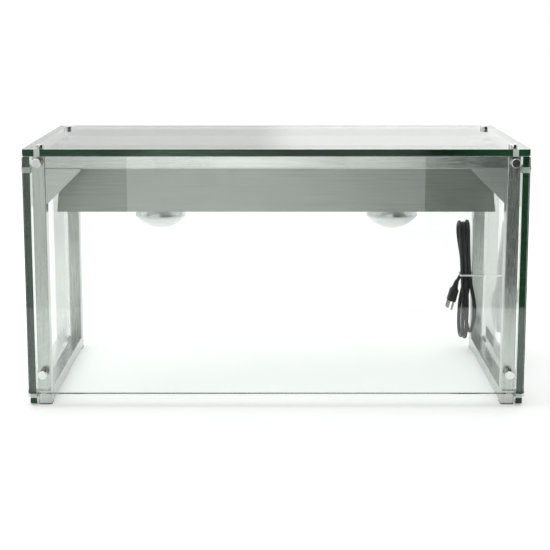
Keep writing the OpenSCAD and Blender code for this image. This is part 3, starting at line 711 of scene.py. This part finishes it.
def lamp_outline(low, high):
    """The outline of a reflector lamp between its lowest and highest points: a frosted dome,
    a round rim, a silvered bowl and a neck."""
    r, rim_r, dome_r = 53 * MM, 6 * MM, 65.5 * MM
    neck_r, collar_r = 15 * MM, 12.4 * MM
    rim_z, neck_z = low + 29 * MM, low + 112 * MM
    dome_end = math.asin((r - rim_r + 2.5 * MM) / dome_r)
    outline = []
    steps = 24
    for i in range(steps + 1):
        a = dome_end * i / steps
        outline.append((dome_r * math.sin(a), low + dome_r * (1 - math.cos(a)), FROSTED))
    for i in range(9):
        a = math.radians(-40 + 55 * i / 8)
        outline.append((r - rim_r + rim_r * math.cos(a), rim_z + rim_r * math.sin(a),
                        FROSTED if i < 8 else SILVERED))
    top_r, top_z = outline[-1][:2]
    for i in range(1, steps + 1):
        u = 1 - i / steps
        outline.append((neck_r + (top_r - neck_r) * math.sqrt(u),
                        neck_z - (neck_z - top_z) * u, SILVERED))
    outline += [(collar_r, neck_z + 5 * MM, SILVERED), (collar_r, high, SILVERED),
                (0, high, SILVERED)]
    return outline


class CASE_OT_lamps(bpy.types.Operator):
    """Blows the two reflector lamps and finishes their bases and sockets"""
    bl_idname = "case.lamps"
    bl_label = "Lamps"

    def execute(self, context):
        frost = frosted_glass("frosted_lamp_face", colours().frost)
        silver = turned_metal("silvered_lamp_back", colours().silver, 0.16, 12 * MM)
        brass = turned_metal("nickelled_brass", colours().brass, 0.3)
        for side in ("left", "right"):
            low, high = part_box(f"{side}_lamp_envelope")
            middle = (low + high) / 2
            bm = bmesh.new()
            lathe(bm, Matrix.Translation((middle.x, middle.y, 0)),
                  lamp_outline(low.z, high.z), 96)
            lamp = shape(f"{side}_lamp_glass", bm, [frost, silver])
            placed(lamp, [f"{side}_lamp_envelope"], f"{side}_lamp")
            finish([f"{side}_lamp_base"], brass)
            finish([f"{side}_lamp_filament"], turned_metal(f"{side}_tungsten", colours().zinc, 0.4))
        finish(["left_socket", "right_socket"], moulded("glazed_porcelain", colours().porcelain, 0.15))
        finish(["socket_contacts"], brass)
        return {"FINISHED"}


class CASE_OT_electrics(bpy.types.Operator):
    """Finishes the wiring, the terminal block and the rocker switch"""
    bl_idname = "case.electrics"
    bl_label = "Wiring and switch"

    def execute(self, context):
        finish(["lamp_wiring"], moulded("silicone_sleeve", colours().wire, 0.5))
        finish(["terminal_block"], moulded("block_nylon", colours().porcelain, 0.45))
        black = moulded("switch_nylon", colours().switch, 0.35)
        softened("switch_case", ["switch_body"], black, 0.3 * MM)
        softened("switch_paddle", ["switch_rocker"], moulded("rocker_nylon", colours().switch, 0.2),
                 0.35 * MM, "rocker")
        return {"FINISHED"}


# ---- The mains cord ----

# The free lead, as (x, depth behind the front pane's face, z) in metres.
LEAD = [(0.400, 0.334, 0.402), (0.400, 0.350, 0.4035), (0.402, 0.366, 0.404),
        (0.407, 0.382, 0.4025), (0.415, 0.397, 0.398), (0.425, 0.410, 0.390),
        (0.4355, 0.4205, 0.379), (0.445, 0.4275, 0.3655), (0.452, 0.4315, 0.3495),
        (0.4565, 0.4333, 0.332), (0.4585, 0.434, 0.313), (0.459, 0.434, 0.293),
        (0.459, 0.434, 0.273), (0.459, 0.434, 0.253), (0.459, 0.4338, 0.233),
        (0.4584, 0.4332, 0.213), (0.4564, 0.432, 0.195), (0.4526, 0.430, 0.178),
        (0.4476, 0.4272, 0.163), (0.4424, 0.424, 0.149), (0.4376, 0.420, 0.135),
        (0.4346, 0.4156, 0.121), (0.4335, 0.411, 0.107)]
# Depth of the hank's front and rear runs at each height: they part in the two lobes and come
# together at the tie.
RUN_Z = (0.078, 0.105, 0.130, 0.150, 0.172, 0.195, 0.220, 0.250)
FRONT_RUN = (0.3662, 0.3735, 0.3815, 0.3900, 0.3960, 0.3905, 0.3795, 0.3680)
REAR_RUN = (0.4115, 0.4095, 0.4070, 0.4050, 0.4040, 0.4050, 0.4075, 0.4110)
FOLD_MIDDLE, FOLD_R = 0.388, 0.024
# Sideways place of each strand: at the bottom fold, at each height of RUN_Z, at the top fold.
STRANDS = {
    "front_1": (0.4405, 0.4440, 0.4460, 0.4430, 0.4385, 0.4366, 0.4340, 0.4310, 0.4280, 0.4265),
    "rear_1": (0.4250, 0.4250, 0.4253, 0.4290, 0.4330, 0.4366, 0.4352, 0.4330, 0.4290, 0.4270),
    "front_2": (0.4262, 0.4275, 0.4290, 0.4295, 0.4288, 0.4284, 0.4265, 0.4240, 0.4205, 0.4183),
    "rear_2": (0.4165, 0.4165, 0.4171, 0.4205, 0.4248, 0.4284, 0.4270, 0.4245, 0.4205, 0.4185),
    "front_3": (0.4178, 0.4188, 0.4200, 0.4206, 0.4203, 0.4200, 0.4175, 0.4145, 0.4110, 0.4095),
    "rear_3": (0.4250, 0.4250, 0.4250, 0.4250, 0.4230, 0.4215, 0.4210, 0.4175, 0.4125, 0.4100),
}
BOTTOM_FOLDS = (0.068, 0.054, 0.057)
TOP_FOLDS = (0.274, 0.270, 0.272)
# From the tie to the plug's relief.
TAIL = [(0.4222, 0.4042, 0.187), (0.4202, 0.4040, 0.175), (0.4155, 0.4034, 0.1665),
        (0.4112, 0.4026, 0.1610), (0.4090, 0.4020, 0.1575), (0.4078, 0.4018, 0.1530)]


def fold(x0, x1, z, to_front, over):
    """Points round the end of a lobe, from the rear run to the front or back again."""
    turn = [math.pi * k / 8 for k in range(9)]
    sign = 1 if over else -1
    points = []
    for a in turn:
        depth = FOLD_MIDDLE + FOLD_R * math.cos(a) * (1 if to_front else -1)
        share = a / math.pi
        points.append((x0 + (x1 - x0) * share, depth, z + sign * FOLD_R * math.sin(a)))
    return points


def run(strand, upward):
    depths = FRONT_RUN if strand.startswith("front") else REAR_RUN
    points = list(zip(STRANDS[strand][1:-1], depths, RUN_Z))
    return points if upward else points[::-1]


def cord_route(front):
    """The cord's centre line: down from the housing, up and down the hank, into the plug."""
    points = list(LEAD) + [(0.4335, 0.4105, 0.090)]
    entry_x = 0.4335
    for i in range(3):
        up, down = f"front_{i + 1}", f"rear_{i + 1}"
        points += fold(entry_x, STRANDS[up][0], BOTTOM_FOLDS[i], True, False)
        points += run(up, True)
        points += fold(STRANDS[up][-1], STRANDS[down][-1], TOP_FOLDS[i], False, True)
        if i < 2:
            points += run(down, False)
            entry_x = STRANDS[down][0]
    points += [p for p in run("rear_3", False) if p[2] > 0.19] + TAIL
    return [Vector((x, front + depth, z)) for x, depth, z in points]


def evenly(points, step):
    """The same path with its points a step apart."""
    kept, left = [points[0].copy()], step
    for a, b in zip(points, points[1:]):
        span = (b - a).length
        while span >= left:
            a = a + (b - a) * (left / span)
            kept.append(a.copy())
            span, left = (b - a).length, step
        left -= span
    kept.append(points[-1].copy())
    return kept


def eased(points, rounds):
    """The same path with its corners relaxed and its ends held."""
    for _ in range(rounds):
        inner = [(a + b * 2 + c) / 4 for a, b, c in zip(points, points[1:], points[2:])]
        points = [points[0]] + inner + [points[-1]]
    return points


def tube_along(name, path, radius, material):
    """A round cord as a curve of one open spline."""
    curve = bpy.data.curves.new(name, "CURVE")
    curve.dimensions = "3D"
    curve.bevel_depth = radius
    curve.bevel_resolution = 5
    curve.use_fill_caps = True
    line = curve.splines.new("POLY")
    line.points.add(len(path) - 1)
    for p, at in zip(line.points, path):
        p.co = (*at, 1)
    line.use_smooth = True
    curve.materials.append(material)
    made = bpy.data.objects.new(name, curve)
    bpy.context.scene.collection.objects.link(made)
    return made


# Where the cord's axis meets the housing's leaning rear face, and the height of the tie.
GRIP_X, GRIP_Z = 0.400, 0.400
HOUSING_LEAN = math.radians(5)
TIE_Z = 0.172
# The upper end of the plug's relief, as the lead's points, and the plug's slant and lengths.
PLUG_TOP = (0.409, 0.402, 0.158)
PLUG_SLANT = math.radians(15)
PLUG_BODY, PLUG_RELIEF = 30 * MM, 18 * MM


class CASE_OT_cord(bpy.types.Operator):
    """Lays the mains cord, with its strain relief, hank, tie and plug"""
    bl_idname = "case.cord"
    bl_label = "Mains cord"

    def execute(self, context):
        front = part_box("front_glass")[0].y
        radius = sizes().cord_diameter / 2
        vinyl = moulded("cord_vinyl", colours().jacket, 0.42, 1.52, 2 * MM, 0.1 * MM, 0.3)
        step, rounds = 4 * MM, 6
        route = eased(evenly(cord_route(front), step), rounds)
        cord = placed(tube_along("mains_cord", route, radius, vinyl),
                      ["cord_lead", "cord_hank"])
        dark = moulded("plug_vinyl", colours().plug, 0.5)
        self.boot(dark, radius)
        plug = self.plug(dark, front, radius)
        finish(["plug_prongs"], turned_metal("plug_blades", colours().blade, 0.25))
        self.tie()
        return {"FINISHED"}

    def boot(self, material, radius):
        """The tapered strain relief, with grooves that let it bend."""
        place = Matrix.Translation((GRIP_X, grip_y(), GRIP_Z)) @ Matrix.Rotation(
            HOUSING_LEAN - math.pi / 2, 4, "X")
        bore = radius / MM + 0.05
        outline = [(bore, -6), (8, -6), (8, -0.4), (8, 0), (10.4, 0), (11, 0.6), (11, 2.4),
                   (10.4, 3), (8.3, 3.2), (8, 4)]
        ribs, first, last = 6, 5.0, 28.5
        for i in range(ribs):
            z = first + (last - first) * i / ribs
            r = 7.8 - 2.4 * i / (ribs - 1)
            outline += [(r, z), (r, z + 2.0), (r - 1.1, z + 2.4), (r - 1.1, z + 3.4)]
        outline += [(5.2, 29), (5.2, 29.6), (4.8, 30), (bore, 30)]
        scaled = [(r * MM, z * MM, 0) for r, z in outline]
        bm = bmesh.new()
        lathe(bm, place, scaled + [scaled[0]], 48)
        bmesh.ops.remove_doubles(bm, verts=bm.verts, dist=MERGE)
        bmesh.ops.recalc_face_normals(bm, faces=bm.faces)
        return placed(shape("cord_boot", bm, [material]), ["cord_grip"])

    def plug(self, material, front, radius):
        """The moulded plug: a waisted body with grip ridges and a ribbed relief."""
        top = Vector((PLUG_TOP[0], front + PLUG_TOP[1], PLUG_TOP[2]))
        place = (Matrix.Translation(top) @ Matrix.Rotation(PLUG_SLANT, 4, "Y")
                 @ Matrix.Translation((0, 0, -PLUG_BODY - PLUG_RELIEF)))
        sections = [(8.6, 11.0, 4, 0), (9.6, 12.1, 4, 0.5), (10, 12.5, 4, 1.6), (10, 12.5, 4, 9)]
        for k in range(4):
            z = 10 + k * 3.6
            sections += [(9.9, 12.3, 4, z), (9.3, 11.2, 4, z + 0.6), (9.3, 11.2, 4, z + 1.6),
                         (9.9, 12.3, 4, z + 2.2)]
        sections += [(9.9, 12.4, 3.6, 25), (9.2, 11.2, 3, 28), (7.6, 8.4, 2.4, 29.6)]
        for k in range(4):
            z, r = 30.4 + k * 4, 7.3 - 0.62 * k
            sections += [(r, r, 2, z), (r, r, 2, z + 2.2), (r - 1.2, r - 1.2, 2, z + 2.6),
                         (r - 1.2, r - 1.2, 2, z + 3.6)]
        sections += [(5.0, 5.0, 2, 46.8), (5.0, 5.0, 2, 47.6), (4.5, 4.5, 2, 48)]
        bm = bmesh.new()
        loft(bm, place, [(w * MM, d * MM, p, z * MM) for w, d, p, z in sections])
        bmesh.ops.recalc_face_normals(bm, faces=bm.faces)
        return placed(shape("cord_plug_body", bm, [material]), ["cord_plug"])

    def tie(self):
        """The cable tie: a strap round the hank and the post, and its locking head."""
        low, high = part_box("cord_tie")
        strap_h, thick = 4 * MM, 1.2 * MM
        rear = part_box("right_rear_post")[1].y + 0.3 * MM + thick
        x0, x1, y0, y1 = low.x + thick / 2, high.x - thick / 2, low.y + thick / 2, rear - thick / 2
        corner, path = 2.4 * MM, []
        for cx, cy, start in ((x1 - corner, y0 + corner, -90), (x1 - corner, y1 - corner, 0),
                              (x0 + corner, y1 - corner, 90), (x0 + corner, y0 + corner, 180)):
            for k in range(7):
                a = math.radians(start + 15 * k)
                path.append(Vector((cx + corner * math.cos(a), cy + corner * math.sin(a), TIE_Z)))
        white = moulded("tie_nylon", colours().tie, 0.35)
        bm = bmesh.new()
        ribbon(bm, path, strap_h / 2, thick / 2)
        head_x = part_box("right_rear_post")[1].x - 5.8 * MM
        head = Matrix.Translation((head_x, rear, TIE_Z)) @ Matrix.Rotation(-math.pi / 2, 4, "X")
        loft(bm, head, [(2.7 * MM, 3.2 * MM, 6, 0), (3 * MM, 3.5 * MM, 6, 0.4 * MM),
                        (3 * MM, 3.5 * MM, 6, 3.9 * MM), (2.6 * MM, 3.1 * MM, 6, 4.4 * MM)], 32)
        tail = Matrix.Translation((head_x - 3 * MM, rear + 2 * MM, TIE_Z)) @ Matrix.Rotation(
            -math.pi / 2, 4, "Y")
        loft(bm, tail, [(1.9 * MM, 0.5 * MM, 5, 0), (1.9 * MM, 0.5 * MM, 5, 3.4 * MM)], 16)
        bmesh.ops.recalc_face_normals(bm, faces=bm.faces)
        return placed(shape("cable_tie", bm, [white]), ["cord_tie"])


def grip_y():
    """Where the cord's axis meets the housing's rear face."""
    low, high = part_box("housing_shell")
    return high.y - (GRIP_Z - low.z) * math.tan(HOUSING_LEAN)


class CASE_OT_label(bpy.types.Operator):
    """Finishes the blank plate on the right pane"""
    bl_idname = "case.label"
    bl_label = "Blank label"

    def execute(self, context):
        finish(["rating_label"], foil("blank_foil", colours().label))
        return {"FINISHED"}


# ---- Camera, floor and light ----

def area_light(name, place, aim, size, power):
    data = bpy.data.lights.new(name, "AREA")
    data.shape = "RECTANGLE"
    data.size, data.size_y = size
    data.energy = power
    made = bpy.data.objects.new(name, data)
    made.location = place
    made.rotation_euler = (Vector(aim) - Vector(place)).to_track_quat("-Z", "Y").to_euler()
    made.visible_camera = False
    bpy.context.scene.collection.objects.link(made)


def studio_world():
    """White to the eye, as a paper backdrop. Reflections see a room that is bright above,
    behind and in front to the left, and dark in front to the right. What is seen straight
    through the glass is bright all round."""
    world = bpy.data.worlds.new("studio")
    world.use_nodes = True
    tree = world.node_tree
    tree.nodes.clear()
    way = add(tree, "ShaderNodeSeparateXYZ", {
        "Vector": add(tree, "ShaderNodeTexCoord").outputs["Generated"]})

    def ramp(axis, start, end, low, high):
        return add(tree, "ShaderNodeMapRange", {
            "Value": way.outputs[axis], "From Min": start, "From Max": end, "To Min": low,
            "To Max": high}, interpolation_type="SMOOTHSTEP").outputs["Result"]

    def between(factor, a, b):
        return add(tree, "ShaderNodeMix", {0: factor, 2: a, 3: b}).outputs[0]

    path = add(tree, "ShaderNodeLightPath")
    unreflected = maths(tree, "LESS_THAN", path.outputs["Glossy Depth"], 0.5)
    through = maths(tree, "MULTIPLY", path.outputs["Is Transmission Ray"], unreflected)
    ahead = between(through, ramp("X", -0.12, 0.12, 0.78, 0.04), 0.95)
    behind = ramp("X", -0.02, 0.02, 0.82, 1.1)
    level = between(ramp("Y", -0.35, 0.35, 0, 1), ahead, behind)
    tone = between(ramp("Z", 0.35, 0.75, 0, 1), level, 0.9)
    room = add(tree, "ShaderNodeBackground", {"Color": WHITE, "Strength": tone})
    paper = add(tree, "ShaderNodeBackground", {"Color": WHITE, "Strength": 1.0})
    both = add(tree, "ShaderNodeMixShader", {
        0: path.outputs["Is Camera Ray"], 1: room.outputs["Background"],
        2: paper.outputs["Background"]})
    add(tree, "ShaderNodeOutputWorld", {"Surface": both.outputs["Shader"]})
    bpy.context.scene.world = world


class CASE_OT_stage(bpy.types.Operator):
    """Sets the floor, the lights and the camera"""
    bl_idname = "case.stage"
    bl_label = "Studio"

    def execute(self, context):
        scene = context.scene
        scene.view_settings.view_transform = "Standard"
        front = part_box("front_glass")[0].y
        self.camera(scene, front)
        self.floor()
        studio_world()
        area_light("overhead_softbox", (-0.5, 0.2, 2.3), (0, 0, 0.2), (2.6, 2.2), 12)
        area_light("left_softbox", (-2.3, -0.6, 1.2), (0, 0, 0.25), (1.4, 1.8), 5)
        area_light("front_card", (0, front - 2.5, 0.28), (0, front, 0.28), (1.2, 0.84), 3.4)
        return {"FINISHED"}

    def camera(self, scene, front):
        """A product view: a long lens from a little above the case, shifted so that the
        uprights stay nearly parallel."""
        away, up, tilt_down = 2.249, 0.797, math.radians(8.33)
        data = bpy.data.cameras.new("camera")
        data.sensor_width = 36
        data.lens = 78.4145
        data.shift_x, data.shift_y = -0.0016, -0.19
        made = bpy.data.objects.new("camera", data)
        made.location = (-0.0007, front - away, up)
        made.rotation_euler = (math.pi / 2 - tilt_down, 0, 0)
        scene.collection.objects.link(made)
        scene.camera = made

    def floor(self):
        """A sheet of white paper that runs back and to the sides, and stops in front."""
        bm = bmesh.new()
        side, near, far = 6, -0.95, 14
        corners = [(-side, near, 0), (side, near, 0), (side, far, 0), (-side, far, 0)]
        bm.faces.new([bm.verts.new(c) for c in corners])
        paper, tree = new_material("backdrop_paper")
        fibre = pattern(tree, [0.3] * 3, 2.0)
        tone = mixed(tree, spread(tree, fibre, 0, 1), linear("#f4f5f4"), linear("#fafafa"))
        sheet = add(tree, "ShaderNodeBsdfPrincipled", {
            "Base Color": tone, "Roughness": 0.9, "Emission Color": WHITE,
            "Emission Strength": 0.25, "Specular IOR Level": 0.1})
        add(tree, "ShaderNodeOutputMaterial", {"Surface": sheet.outputs["BSDF"]})
        made = shape("floor", bm, [paper])


# ---- The add-on ----

PIECES = (CASE_OT_stage, CASE_OT_cord, CASE_OT_frame, CASE_OT_panes, CASE_OT_caps,
          CASE_OT_housing, CASE_OT_lamps, CASE_OT_electrics, CASE_OT_label)


class CASE_PT_pieces(bpy.types.Panel):
    """Lists what the display case is made of"""
    bl_idname = "CASE_PT_pieces"
    bl_label = "Display Case"
    bl_space_type = "VIEW_3D"
    bl_region_type = "UI"
    bl_category = "Display Case"

    def draw(self, context):
        for piece in PIECES:
            self.layout.operator(piece.bl_idname)
        for settings in (context.scene.case_sizes, context.scene.case_colours):
            box = self.layout.box()
            for name in settings.__annotations__:
                box.prop(settings, name)


CLASSES = (CaseColours, CaseSizes, *PIECES, CASE_PT_pieces)


def register():
    for c in CLASSES:
        bpy.utils.register_class(c)
    bpy.types.Scene.case_colours = bpy.props.PointerProperty(type=CaseColours)
    bpy.types.Scene.case_sizes = bpy.props.PointerProperty(type=CaseSizes)


def unregister():
    del bpy.types.Scene.case_sizes
    del bpy.types.Scene.case_colours
    for c in reversed(CLASSES):
        bpy.utils.unregister_class(c)


def main():
    register()
    bpy.ops.case.stage()
    bpy.ops.case.cord()
    bpy.ops.case.frame()
    bpy.ops.case.panes()
    bpy.ops.case.caps()
    bpy.ops.case.housing()
    bpy.ops.case.lamps()
    bpy.ops.case.electrics()
    bpy.ops.case.label()


if __name__ == "__main__":
    main()
